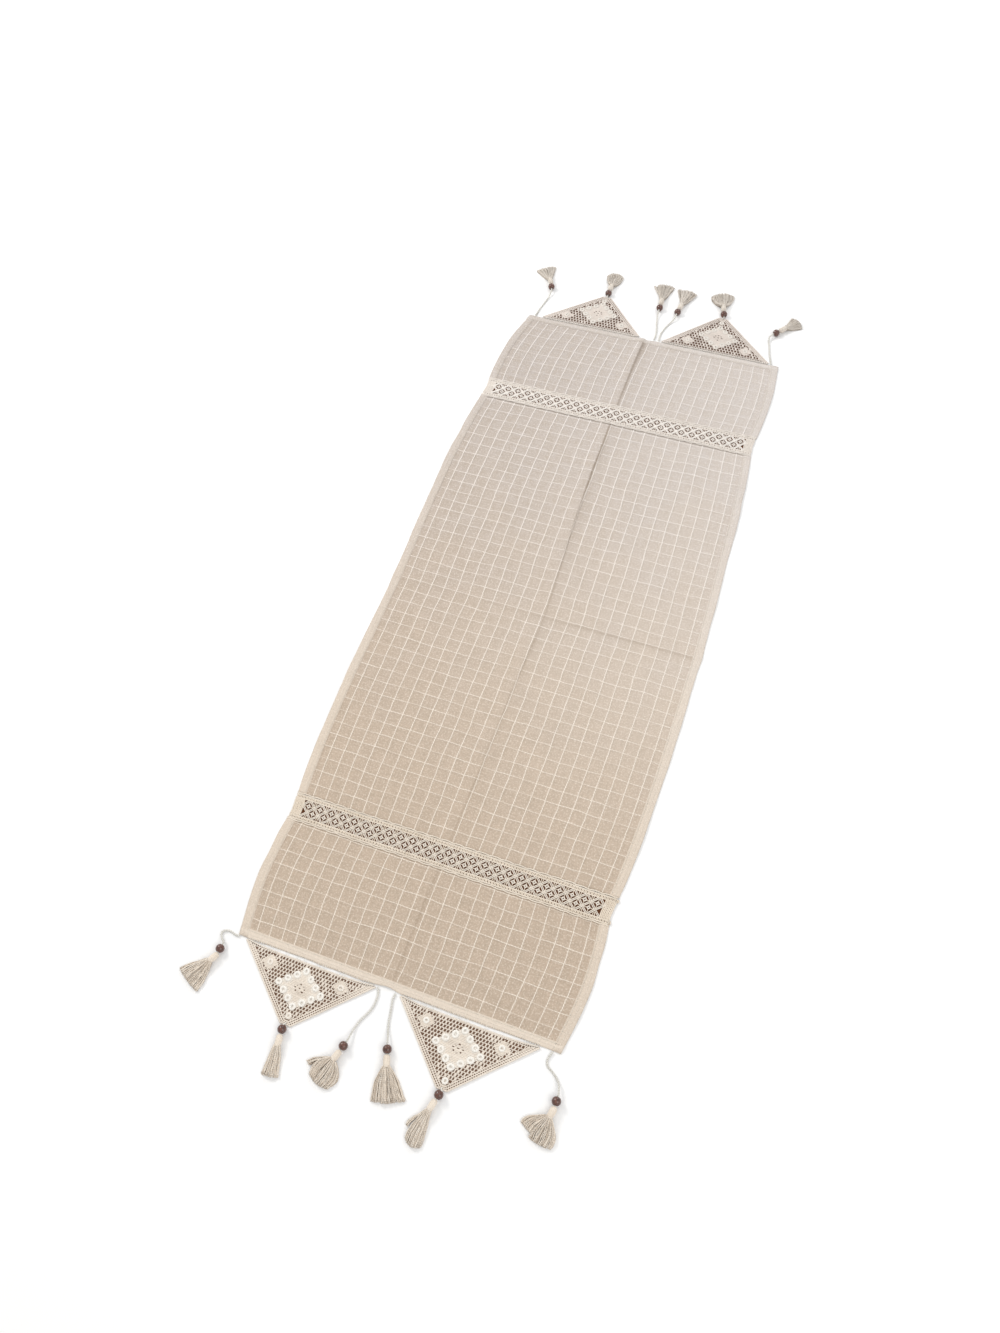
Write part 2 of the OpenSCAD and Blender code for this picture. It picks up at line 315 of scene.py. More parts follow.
def smooth_route(points, step=1.0):
    """A Catmull-Rom curve through points, with even steps (mm)."""
    p = np.asarray(points, float)
    ends = np.concatenate([[2 * p[0] - p[1]], p, [2 * p[-1] - p[-2]]])
    out = []
    for i in range(len(p) - 1):
        a, b, c, d = ends[i : i + 4]
        for t in np.linspace(0, 1, 12, endpoint=False):
            bend = (2 * a - 5 * b + 4 * c - d) * t**2 + (3 * b - a - 3 * c + d) * t**3
            out.append(b + (c - a) * t / 2 + bend / 2)
    out.append(p[-1])
    return even(np.array(out), step)


def even(p, step):
    """The same line with even steps (mm)."""
    s = distance(p)
    at = np.linspace(0, s[-1], max(2, round(s[-1] / step) + 1))
    return xyz(*(np.interp(at, s, p[:, k]) for k in range(3)))


def line(a, b, step=2.5):
    """Even points from a to b (mm)."""
    a, b = np.asarray(a, float), np.asarray(b, float)
    n = max(2, int(math.ceil(np.linalg.norm(b - a) / step)) + 1)
    return a + (b - a) * np.linspace(0, 1, n)[:, None]


# ---- materials


class Nodes:
    """A material's node tree, with short calls for its nodes."""

    def __init__(self, name, roughness, sheen=0.0, coat=0.0, specular=0.3):
        self.material = bpy.data.materials.new(name)
        self.material.use_nodes = True
        self.tree = self.material.node_tree
        self.shader = self.tree.nodes["Principled BSDF"]
        for key, v in (("Roughness", roughness), ("Sheen Weight", sheen), ("Sheen Roughness", 0.5),
                       ("Coat Weight", coat), ("Specular IOR Level", specular)):
            self.put(self.shader, key, v)

    def node(self, kind, **inputs):
        n = self.tree.nodes.new(kind)
        for k, v in inputs.items():
            self.put(n, k, v)
        return n

    def put(self, n, key, v):
        socket = n.inputs[int(key)] if key.isdigit() else n.inputs[key]
        if isinstance(v, bpy.types.NodeSocket):
            self.tree.links.new(v, socket)
        else:
            socket.default_value = v

    def math(self, operation, a, b=0.0, c=0.0):
        n = self.tree.nodes.new("ShaderNodeMath")
        n.operation = operation
        for i, v in enumerate((a, b, c)):
            self.put(n, str(i), v)
        return n.outputs[0]

    def mul(self, a, b):
        return self.math("MULTIPLY", a, b)

    def plus(self, a, b):
        return self.math("ADD", a, b)

    def mul_add(self, a, b, c):
        """a * b + c."""
        return self.math("MULTIPLY_ADD", a, b, c)

    def mix(self, factor, a, b):
        n = self.tree.nodes.new("ShaderNodeMix")
        n.data_type = "RGBA"
        n.clamp_factor = True
        self.put(n, "0", factor)
        for key, v in (("6", a), ("7", b)):
            self.put(n, key, v if isinstance(v, bpy.types.NodeSocket) else (*v, 1))
        return n.outputs[2]

    def attribute(self, name):
        n = self.tree.nodes.new("ShaderNodeAttribute")
        n.attribute_name = name
        return n.outputs["Fac"]

    def uv(self):
        n = self.tree.nodes.new("ShaderNodeUVMap")
        n.uv_map = "thread"
        split = self.node("ShaderNodeSeparateXYZ", Vector=n.outputs[0])
        return n.outputs[0], split.outputs[0], split.outputs[1]

    def noise(self, vector, scale, detail=2.0, stretch=(1, 1, 1)):
        mapping = self.node("ShaderNodeMapping", Vector=vector, Scale=stretch)
        n = self.node("ShaderNodeTexNoise", Vector=mapping.outputs[0], Scale=scale, Detail=detail)
        return n.outputs["Fac"]

    def ramp(self, value, low, high):
        """0 below low, 1 above high, smooth between."""
        n = self.tree.nodes.new("ShaderNodeMapRange")
        n.interpolation_type = "SMOOTHSTEP"
        for key, v in (("Value", value), ("From Min", low), ("From Max", high)):
            self.put(n, key, v)
        return n.outputs[0]

    def bump(self, height, distance, strength=1.0):
        n = self.node("ShaderNodeBump", Height=height, Distance=distance, Strength=strength)
        self.tree.links.new(n.outputs[0], self.shader.inputs["Normal"])

    def colour(self, socket):
        self.tree.links.new(socket, self.shader.inputs["Base Color"])
        return self.material


def wave(m, value, period):
    """A sine from 0 to 1 of that period."""
    s = m.math("SINE", m.mul(value, TAU / period))
    return m.mul_add(s, 0.5, 0.5)


def to_line(m, value, pitch):
    """Distance to the nearest line of that pitch."""
    cell = m.plus(m.math("DIVIDE", value, pitch), 0.5)
    return m.mul(m.math("ABSOLUTE", m.math("SUBTRACT", m.math("FRACT", cell), 0.5)), pitch)


# CLOTH_BACK and THREAD_BACK are painted light: the same cloth and thread as they look in the back end's
# greyer, bluer light
CLOTH = (0.556, 0.443, 0.345)
CLOTH_BACK = (0.492, 0.447, 0.425)
CLOTH_DARK = (0.390, 0.312, 0.236)
THREAD = (0.94, 0.85, 0.74)
THREAD_BACK = (0.95, 0.90, 0.86)
SHADOW = (0.085, 0.050, 0.030)


def woven(name, hem=0.0):
    """Loose plain weave with a raised check of thick threads. hem is how far it is a folded hem."""
    m = Nodes(name, 0.92, sheen=0.12, specular=0.2)
    vector, u, v = m.uv()
    grain = m.noise(vector, 900, 3)
    slub_along = m.noise(vector, 260, 3, (1, 0.12, 1))
    slub_across = m.noise(vector, 260, 3, (0.12, 1, 1))
    broad = m.noise(vector, 14, 3)
    weave = m.mul(wave(m, u, 0.00125), wave(m, v, 0.00125))
    mottled = m.mul_add(m.plus(slub_along, slub_across), 0.9, -0.5)
    sand = m.noise(vector, 420, 2)
    # painted light: from the front end to the back end the cloth and its threads turn greyer and bluer
    painted_back_light = m.ramp(m.plus(v, m.mul_add(broad, 0.3, -0.15)), -0.40, 0.55)
    light = m.mix(painted_back_light, CLOTH, CLOTH_BACK)
    thread = m.mix(painted_back_light, THREAD, THREAD_BACK)
    base = m.mix(m.ramp(mottled, 0.05, 0.75), m.mix(0.55, light, CLOTH_DARK), light)
    base = m.mix(m.mul(m.ramp(grain, 0.35, 0.70), 0.42), base, CLOTH_DARK)
    base = m.mix(m.mul(m.ramp(sand, 0.45, 0.75), 0.35), base, thread)
    # painted light: lighter towards the right side and over the back half
    lit = m.mul(m.ramp(u, -0.3, 0.3), m.ramp(v, -0.5, 0.0))
    base = m.mix(m.mul(lit, 0.22), base, thread)
    if hem:
        base = m.mix(m.mul_add(painted_back_light, -0.7 * hem, hem), base, thread)
    wander = m.mul_add(m.noise(vector, 120, 1), 0.0012, -0.0006)
    u2, v2 = m.plus(u, wander), m.plus(v, wander)
    to_u = to_line(m, u2, CHECK * MM)
    to_v = to_line(m, v2, CHECK * MM)
    twist = wave(m, m.plus(v, m.mul(u, 1.2)), 0.0036)
    twist_v = wave(m, m.plus(u, m.mul(v, 1.2)), 0.0048)
    along = m.math("SUBTRACT", 1.0, m.ramp(to_u, 0.00045, 0.00115))
    across = m.math("SUBTRACT", 1.0, m.ramp(to_v, 0.0003, 0.0009))
    along = m.mul(along, m.mul_add(twist, 0.62, 0.38))
    worn = m.ramp(m.noise(vector, 22, 3), 0.30, 0.62)
    fade = m.mul(m.mul_add(worn, 0.6, 0.38), m.mul_add(twist_v, 0.4, 0.5))
    fade = m.mul(fade, m.mul_add(m.ramp(v, 0.40, 0.46), -0.35, 1.0))
    across = m.mul(across, fade)
    check = m.math("MAXIMUM", along, across)
    base = m.mix(m.mul(check, 0.2 if hem else 1.0), base, thread)
    # painted shade: warm brown in the creases and along hem edges, as strong as the per-point shade value
    base = m.mix(m.mul(m.attribute("deep"), 0.75), base, (0.17, 0.105, 0.045))
    height = m.mul_add(check, 1.2, m.mul(weave, 0.35))
    height = m.plus(height, m.mul(mottled, 0.5))
    m.bump(height, 0.0006, 0.7)
    return m.colour(base)


def yarn(name, light, dark, white=(0.93, 0.90, 0.84), twist=0.0022, shadow=SHADOW, depth=0.85):
    """Plied cotton yarn: slanting plies, fuzz, and painted shade where light doesn't reach."""
    m = Nodes(name, 0.85, sheen=0.15, specular=0.25)
    vector, u, v = m.uv()
    plies = wave(m, m.plus(u, m.mul(v, twist)), twist)
    fuzz = m.noise(vector, 500, 3, (1, 0.002, 1))
    blotch = m.noise(m.node("ShaderNodeTexCoord").outputs["Object"], 60, 3)
    base = m.mix(m.mul_add(fuzz, 0.6, m.mul(plies, 0.4)), dark, light)
    base = m.mix(m.ramp(blotch, 0.35, 0.75), base, dark)
    base = m.mix(m.attribute("white"), base, white)
    # painted shade: mixes toward the shadow colour as far as each point's shade value says
    base = m.mix(m.mul(m.attribute("deep"), depth), base, shadow)
    m.bump(m.plus(plies, m.mul(fuzz, 0.5)), 0.0004, 0.8)
    return m.colour(base)


def hollow(name, tone):
    """Painted shade for what is seen through the holes of open work: a dark, mottled sheet colour without
    any gloss.
    """
    m = Nodes(name, 1.0, specular=0.0)
    vector, _, _ = m.uv()
    shade_mottle = m.noise(vector, 240, 3)
    m.bump(shade_mottle, 0.0003, 0.5)
    return m.colour(m.mix(shade_mottle, tuple(0.75 * c for c in tone), tuple(1.25 * c for c in tone)))


def wood():
    """Stained and polished wood, with its grain round the bead."""
    m = Nodes("bead_wood", 0.32, coat=0.5, specular=0.5)
    where = m.node("ShaderNodeTexCoord").outputs["Object"]
    rings = m.noise(where, 350, 4, (1, 1, 6))
    pores = m.noise(where, 1500, 2, (1, 1, 4))
    base = m.mix(m.ramp(rings, 0.3, 0.7), (0.038, 0.014, 0.009), (0.165, 0.062, 0.040))
    base = m.mix(m.mul(m.ramp(pores, 0.55, 0.8), 0.5), base, (0.015, 0.006, 0.004))
    m.bump(m.plus(rings, pores), 0.0002, 0.4)
    return m.colour(base)


CLOTH_MATERIAL = woven("checked_cotton")
HEM_MATERIAL = woven("hem_cotton", hem=0.36)
END_HEM_MATERIAL = woven("end_hem_cotton", hem=0.50)
BAND_DEEP = dict(shadow=(0.075, 0.045, 0.032), depth=1.0)
LACE_DEEP = dict(twist=0.0016, shadow=(0.090, 0.058, 0.042), depth=1.0)
# the back copies of these yarns, and the back lace's hole shade, are painted greyer and mostly darker than
# the front ones, as painted light for the back end's dimmer, greyer light
CROCHET = {
    "front": yarn("crochet_yarn_front", (0.88, 0.78, 0.66), (0.72, 0.62, 0.50), **BAND_DEEP),
    "back": yarn("crochet_yarn_back", (0.88, 0.81, 0.74), (0.73, 0.665, 0.60),
                 white=(0.93, 0.89, 0.84), **BAND_DEEP),
}
LACE = {
    "front": yarn("lace_yarn_front", (0.95, 0.87, 0.77), (0.80, 0.71, 0.61), **LACE_DEEP),
    "back": yarn("lace_yarn_back", (0.86, 0.785, 0.72), (0.72, 0.645, 0.585),
                 white=(0.76, 0.715, 0.655), **LACE_DEEP),
}
BAND_HOLLOW = hollow("band_hole_shade", (0.100, 0.042, 0.020))
LACE_HOLLOW = {"front": hollow("lace_hole_shade_front", (0.150, 0.088, 0.058)),
               "back": hollow("lace_hole_shade_back", (0.110, 0.064, 0.044))}
STITCH = yarn("sewing_thread", (0.88, 0.84, 0.76), (0.76, 0.70, 0.60), twist=0.0012)
CORD = yarn("cord_yarn", (0.86, 0.84, 0.79), (0.66, 0.64, 0.59), twist=0.0030)
TASSEL = {
    "front": yarn("tassel_yarn_front", (0.97, 0.88, 0.765), (0.86, 0.755, 0.635), twist=0.0024,
                  shadow=(0.37, 0.265, 0.175)),
    "back": yarn("tassel_yarn_back", (0.84, 0.775, 0.70), (0.70, 0.63, 0.55), twist=0.0024,
                 white=(0.84, 0.81, 0.76), shadow=(0.26, 0.195, 0.14)),
}
BEAD = wood()

# ---- the cords, before the rest

CORD_D = 3.0
BEAD_LEN = 10.5
LEAD_IN = 9.0  # how far before a bead's middle its cord runs straight
HEAD_OFF = BEAD_LEN / 2 + 4.05  # from a bead's middle to its tassel's head
# name: bead-hole angle, end of the skirt, width of the skirt, the cord's last two heights before the
# bead, and its route from the hem to the bead, seen from above
CORD_TASSELS = {
    "front_left_corner": (-95, (-268, -678), 40, (2.2, 4.2), [
        (-228, -602), (-235, -602), (-242, -600), (-249, -601), (-253, -605), (-250, -611)]),
    "front_left_inner": (-104, (-52, -736), 44, (2, 4), [
        (-22, -602), (-19, -609), (-18, -618), (-19, -628), (-23, -638), (-28, -648), (-31, -658),
        (-32, -667)]),
    "front_right_inner": (-70, (42, -728), 42, (2.2, 4.4), [
        (3, -602), (2, -609), (4, -618), (6, -627), (8, -637), (11, -646), (14, -653)]),
    "front_right_corner": (-90, (232, -707), 44, (1.8, 4), [
        (219, -602), (217, -608), (216, -614), (219, -620), (226, -624), (233, -629), (239, -636)]),
    "back_left_corner": (111, (-239, 722), 36, (2, 4), [
        (-219, 602), (-218, 611), (-217, 621), (-215, 631), (-213, 641), (-211, 650), (-210, 658)]),
    "back_left_inner": (94, (-10, 738), 34, (2, 4.2), [
        (5, 602), (5, 611), (4, 621), (2, 631), (-1, 641), (-3, 651), (-5, 660)]),
    "back_right_inner": (85, (35, 734), 34, (2, 4.2), [
        (14, 602), (13, 611), (13, 621), (15, 631), (18, 641), (22, 650), (26, 658)]),
    "back_right_corner": (48, (240, 712), 30, (2.4, 4.6), [
        (216, 602), (213, 611), (209, 622), (206, 633), (203, 644), (200, 654), (199, 661)]),
}
# end of the skirt, width of the skirt
TIP_TASSELS = {
    "front_left_point": ((-111, -749), 22),
    "front_right_point": ((85, -761), 26),
    "back_left_point": ((-107, 742), 30),
    "back_right_point": ((94, 744), 40),
}


def middle(node):
    """The middle of a CAD node's box, in mm."""
    low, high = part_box(node)
    return np.array((low + high) / 2) / MM


def heading(angle):
    return np.array([math.cos(angle), math.sin(angle), 0.0])


def bearing(a, b):
    """The angle of the way from a to b, seen from above."""
    return math.atan2(b[1] - a[1], b[0] - a[0])


def plied(build, path, thick, lay, **values):
    """Two plies twisted round each other along path."""
    tangent = unit(np.gradient(path, axis=0))
    side = unit(np.cross((0, 0, 1), tangent))
    top = np.cross(tangent, side)
    s = distance(path)
    for phase in (0, math.pi):
        a = TAU * s / lay + phase
        offset = 0.24 * thick * (np.cos(a)[:, None] * side + np.sin(a)[:, None] * top)
        build.tube(path + offset, 0.27 * thick, sides=8, low=0.5, **values)


cords = {}
for name, (angle, _, _, rising, route) in CORD_TASSELS.items():
    bead = middle("bead_" + name)
    h = heading(math.radians(angle))
    through = [bead - LEAD_IN * h, bead - BEAD_LEN / 2 * h, bead + (BEAD_LEN / 2 + 4) * h]
    heights = [1.9, 1.6] + [1.5] * (len(route) - 4) + list(rising)
    path = smooth_route([(x, y, z) for (x, y), z in zip(route, heights)] + through, 0.6)
    build = Build()
    plied(build, path, CORD_D, 7.0)
    piece = build.make("twisted_cord_" + name, CORD)
    cords[name] = (piece, path)

# ---- panels

pieces = {}


def spread_lines(low, high, half=0.9, between=3):
    """Places of rows or columns: three at each check line, a few between."""
    out = {low, high}
    for k in range(math.floor(low / CHECK) - 1, math.ceil(high / CHECK) + 2):
        at = k * CHECK
        out.update(at + d for d in (-half, 0, half))
        for b in range(1, between + 1):
            out.add(at + half + (CHECK - 2 * half) * b / (between + 1))
    kept = sorted(x for x in out if low <= x <= high)
    return np.array([x for i, x in enumerate(kept) if i == 0 or x - kept[i - 1] > 0.05])


def off_line(x):
    """Distance from x to the nearest check line, in mm."""
    return np.abs((x / CHECK + 0.5) % 1 - 0.5) * CHECK


def panel(name, low, high, extra=()):
    """One woven panel between its side hems, from low to high along y."""
    ys = np.unique(np.concatenate([spread_lines(low, high), extra]))
    by_crease = np.arange(-22.3, 12, 0.9)
    us = np.unique(np.concatenate([spread_lines(-FLAT_HALF, FLAT_HALF), by_crease]))
    u, v = np.meshgrid(us, ys)
    x = sway(v) + u / FLAT_HALF * (half_w(v) - HEM + 1.5)
    px, py = place(x, v)
    base = lift(px, py)
    ridge = np.maximum(0.42 * (off_line(u) < 0.2), 0.30 * (off_line(v) < 0.2))
    top = xyz(px, py, base + CLOTH_THICK + ridge + 0.08 * noise(px, py, 4, 21))
    bottom = xyz(px, py, base)
    build = Build("deep")
    # the creases get painted shade through the per-point shade value
    build.shell(top, bottom, xyz(u, v) * MM, deep=0.75 * crease_shade(px, py))
    piece = build.make(name, CLOTH_MATERIAL)
    area = float(np.trapz(2 * (half_w(ys) - HEM), ys)) * MM * MM
    return piece, (2 * (float(half_w(ys).max()) - HEM) * MM, (high - low) * MM), area


near_fold = np.arange(-5, 5.1, 1.0)  # more rows where the middle folds
for name, low, high, extra in (
    ("woven_centre_panel", -SEAM["front"] - 3, SEAM["back"] + 3, near_fold),
    ("woven_front_panel", -HALF_LEN + 4, -BAND_OUT["front"] + 3, ()),
    ("woven_back_panel", BAND_OUT["back"] - 3, HALF_LEN - 4, ()),
):
    pieces[name] = panel(name, low, high, extra)


def side_hem(name, side, low, high):
    """A folded side hem with a rounded edge and a row of running stitches."""
    across = np.array([0, 1.0, 3, 6, 9, 12, 13.2, 13.8, 14.0])
    rise = np.array([0.5, 1.05, 1.1, 1.25, 1.3, 1.15, 0.95, 0.6, 0.2])
    ys = np.arange(low, high + 0.1, 3.0)
    ys[-1] = high
    s, v = np.meshgrid(across, ys)
    x = sway(v) + side * (half_w(v) - (HEM - s)) + side * (s / HEM) * 0.8 * noise(v, v * 0, 30, 31)
    base = lift(x, v)
    height = base + HEM_THICK + rise + 0.12 * noise(s * 3, v, 5, 33) - 0.25 * bell(s - 2.5, 0.7)
    top = xyz(x, v, height)
    bottom = xyz(x, v, base - 0.1 + 0.1 * s / HEM)
    uv = xyz(side * (FLAT_HALF + s), v) * MM
    build = Build()
    # painted shade along the hem's two edges
    shade = 0.22 * bell(s, 0.8) + 0.12 * bell(s - HEM, 0.8)
    build.shell(top[:, ::side], bottom[:, ::side], uv[:, ::side], deep=shade[:, ::side])
    piece = build.make(name, HEM_MATERIAL)
    thread = Build()
    for at in np.arange(low + 3, high - 4, 4.4):
        p = np.linspace(0, 1, 4)
        y = at + 3.0 * p
        sx = sway(y) + side * (half_w(y) - HEM + 2.5)
        z = lift(sx, y) + 1.35 + 0.35 * np.sin(math.pi * p)
        thread.tube(xyz(sx, y, z), 0.3)
    return piece, thread.make(name + "_stitching", STITCH)


STRETCHES = {
    "front_end": (-HALF_LEN, -BAND_OUT["front"] + 2),
    "centre": (-SEAM["front"] - 2, SEAM["back"] + 2),
    "back_end": (BAND_OUT["back"] - 2, HALF_LEN),
}
for side, word in ((-1, "left"), (1, "right")):
    for stretch, (low, high) in STRETCHES.items():
        name = f"folded_hem_{word}_{stretch}"
        pieces[name] = side_hem(name, side, low, high)


def end_hem(end):
    """The folded hem across one end, with its row of small stitches."""
    sign = SIGN[end]
    ts = np.linspace(-1, 1, 150)
    across = np.array([0, 0.8, 2, 4, 7, 10, 11.3, 11.9, 12.2])
    rise = np.array([0.5, 1.0, 1.15, 1.3, 1.3, 1.0, 0.75, 0.45, 0.05])
    t, s = np.meshgrid(ts, across)
    flat_y = sign * (HALF_LEN - END_HEM + s)
    x = sway(flat_y) + t * (half_w(flat_y) - 0.4)
    notch = 3.0 * bell(x + 9, 14) * (s / END_HEM)
    y = flat_y + sign * (0.5 * noise(x, s * 0, 26, 41) * (s / END_HEM)) - sign * notch
    base = lift(x, y)
    ribs = 0.14 * np.sin(TAU * x / 2.6 + 0.8 * s) + 0.14 * np.sin(TAU * s / 2.7)
    top = np.stack([x, y, base + HEM_THICK + rise[:, None] + ribs], -1)
    bottom = xyz(x, y, base - 0.1)
    uv = xyz(t * FLAT_HALF, flat_y) * MM
    build = Build()
    # painted shade along the hem's two edges
    shade = 0.22 * bell(s, 0.9) + 0.15 * bell(s - across[-1], 0.8)
    build.shell(top[::sign], bottom[::sign], uv[::sign], deep=shade[::sign])
    piece = build.make(f"folded_hem_{end}", END_HEM_MATERIAL)
    thread = Build()
    for at in np.arange(-222, 222, 3.6):
        y = sign * (HALF_LEN - END_HEM + 2.4 + np.array([0, 0.25, 0.25, 0]))
        x = at + np.array([0, 0.9, 1.9, 2.8]) + sway(y)
        z = lift(x, y) + np.array([1.3, 1.75, 1.75, 1.3])
        thread.tube(xyz(x, y, z), 0.32)
    return piece, thread.make(f"folded_hem_{end}_stitching", STITCH)


for end in SIGN:
    pieces["folded_hem_" + end] = end_hem(end)

# ---- crocheted bands

BAND_PITCH = 18.0  # length of one diamond
BAND_RISE = 1.3  # how high the band's threads lie over the cloth's underside
SHADE_SHEET_THICK = 0.16


def ground(name, grid, material):
    """A thin dark sheet of painted shade that is seen through the holes of open work, halfway up its
    threads.
    """
    build = Build()
    up = np.array([0, 0, SHADE_SHEET_THICK / 2])
    build.shell(grid + up, grid - up, grid[..., :2] * MM, deep=np.ones(grid.shape[:2]))
    return build.make(name, material)


def crochet_band(end):
    """Two rows of diamonds in a lattice, between solid crocheted headings with scalloped edges."""
    sign = SIGN[end]
    mid = sign * (SEAM[end] + BAND_OUT[end] + 3) / 2
    half = float(half_w(mid))
    build = Build()

    def put(st, up=0.0):
        """Points (s, t) of the flat band, in the cloth's place and up over its usual height."""
        s, t = np.asarray(st, float).T
        y = mid + t + 0.5 * noise(s, t * 0, 33, 51)
        x = sway(y) + s * (half_w(y) - 0.6) / half
        return xyz(x, y, lift(x, y) + (BAND_RISE + up))

    open_half = half - 15
    reach = 12.4
    tape, pale = (0.72, 0.4) if end == "front" else (0.84, 0.8)
    # the lattice, as pairs of strands
    for m in range(-16, 17):
        for slope, offset in ((1, 4.5 + BAND_PITCH * m), (-1, -4.5 + BAND_PITCH * m)):
            t = np.linspace(-reach, reach, 14)
            s = slope * t + offset
            keep = np.abs(s) < open_half + 4
            if keep.sum() < 4:
                continue
            for shift in (-0.66, 0.66):
                st = xyz(s + shift, t - slope * shift)[keep]
                build.tube(put(st, 0.25 * slope), tape, sides=6, white=pale)
    # the diamonds' hearts
    for j in range(-int(open_half / 9), int(open_half / 9) + 1):
        s0, t0 = 9.0 * j, 4.5 if j % 2 == 0 else -4.5
        size = 2.0 + 0.2 * jitter()
        turn = rng.uniform(-0.25, 0.25)
        a = np.linspace(0, TAU, 8, endpoint=False) + turn
        r = size * (1 + 0.20 * np.cos(4 * (a - turn)))
        ring = xyz(s0 + r * np.cos(a), t0 + r * np.sin(a))
        build.tube(put(ring, 0.3), 1.05, sides=6, closed=True, white=0.45)
        for c, d in ((1, 0), (0, 1), (-1, 0), (0, -1)):
            ends = [(s0 + c * q, t0 + d * q) for q in (2.4, 5.4, 8.2)]
            build.tube(put(ends), [0.8, 0.55, 0.55])
        for shift in (-1.3, 1.3):
            t1 = -math.copysign(1, t0)
            ends = [(s0 + shift * 0.6, t1 * 8.0), (s0 + shift, t1 * 10.6), (s0 + shift * 1.1, t1 * 13.2)]
            build.tube(put(ends), 0.7)
    # the headings: posts between two chains, and an outer chain in scallops
    s = np.arange(-half, half + 0.1, 1.35)
    for side in (-1, 1):
        for t, radius, scallop, k in ((13.3, 1.0, 0, 0), (17.6, 1.0, 0.2, 1), (19.5, 1.0, 1.0, 2)):
            wave_t = scallop * np.abs(np.sin(math.pi * s / BAND_PITCH))
            st = xyz(s, side * (t + wave_t + 0.15 * np.sin(2.33 * s + k)))
            bumps = radius * (1 + 0.16 * np.sin(TAU * s / 3.6 + 2 * k))
            build.tube(put(st, 0.15 * k), bumps, sides=6, flat=0.7, low=0.3, white=0.15)
        for pair in np.arange(-half + 1.5, half - 1, 4.4):
            for at in (pair, pair + 1.95):
                at += 0.15 * jitter()
                ends = [(at, side * 13.2), (at + 0.3, side * 15.4), (at + 0.2, side * 17.8)]
                build.tube(put(ends, -0.05), [1.05, 1.0, 1.1], flat=0.75, low=0.3)
    # the solid ends beside the open part
    for side in (-1, 1):
        for k in range(7):
            s0 = side * (open_half + 1.2 + 2.15 * k)
            t = np.linspace(-12.6, 12.6, 20)
            st = xyz(s0 + 0.25 * np.sin(2.2 * t + k * math.pi), t)
            build.tube(put(st), 1.15 + 0.2 * np.sin(2.3 * t), sides=6, flat=0.75, low=0.3)
    threads = build.make(f"openwork_threads_{end}", CROCHET[end])
    # a sheet of painted shade under the band's threads
    gs, gt = np.meshgrid(np.linspace(-half + 3, half - 3, 130), np.linspace(-16.5, 16.5, 13))
    grid = put(xyz(gs.ravel(), gt.ravel()), -0.15).reshape(*gs.shape, 3)
    flat = (2 * (half - 3) * MM, 0.033)
    return ground(f"openwork_shade_sheet_{end}", grid, BAND_HOLLOW), threads, flat


for end in SIGN:
    pieces["band_" + end] = crochet_band(end)

# ---- lace points

LACE_Y = 604.0  # where the lace points start


